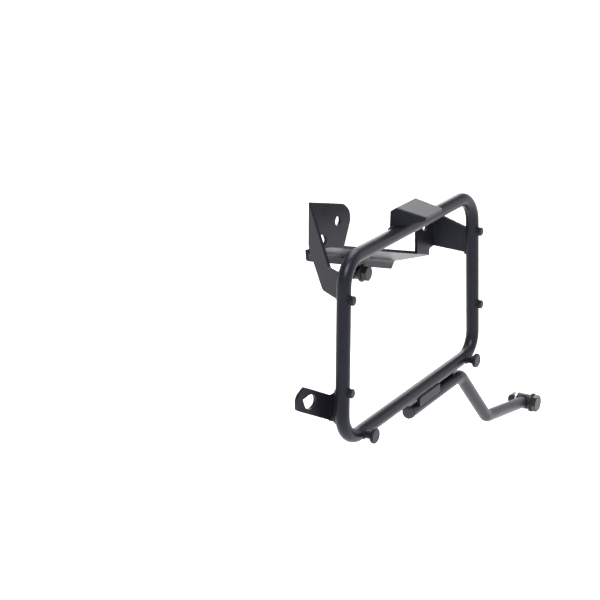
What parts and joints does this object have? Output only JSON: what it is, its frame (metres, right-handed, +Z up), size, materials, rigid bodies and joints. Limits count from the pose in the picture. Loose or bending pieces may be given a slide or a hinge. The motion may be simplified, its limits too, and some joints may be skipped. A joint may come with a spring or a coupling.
{
  "type": "motorcycle pannier frame, right-hand side",
  "caption": "Right-hand side frame for a hard motorcycle pannier: a round tube loop on a folded fixing bracket, with a rear tab, a catch and a bent stay running down to the footrest.",
  "frame": {"origin": "centre of the upper rear fixing hole, in the middle of the bracket's sheet", "axes": "+X towards the front of the motorcycle along the loop, +Y inboard towards the motorcycle, +Z up"},
  "size_m": [0.6717, 0.1627, 0.4781],
  "materials": {
    "frame_coat": "satin black powder coat with a fine orange-peel texture",
    "black_hardware": "black passivated steel fasteners",
    "bright_zinc": "bright zinc-plated washer",
    "end_plug": "moulded black plastic tube plug"
  },
  "bodies": {
    "root": {"loop_tube": "frame_coat", "bracket": "frame_coat", "catch": "frame_coat", "rear_tab": "frame_coat", "side_stud_rear_upper": "frame_coat", "side_stud_rear_lower": "frame_coat", "side_stud_front_upper": "frame_coat", "side_stud_front_lower": "frame_coat", "locating_disc_rear": "frame_coat", "locating_disc_front": "frame_coat", "shelf_bolt": "black_hardware", "shelf_sleeve": "frame_coat", "shelf_washer": "black_hardware", "shelf_nut": "black_hardware", "stay_tube": "frame_coat", "stay_strap_rear": "frame_coat", "stay_strap_front": "frame_coat", "stay_plug": "end_plug", "stay_eye": "frame_coat", "footrest_bolt": "black_hardware", "footrest_outer_washer": "black_hardware", "footrest_inner_washer": "bright_zinc", "footrest_nut": "black_hardware"}
  },
  "joints": []
}
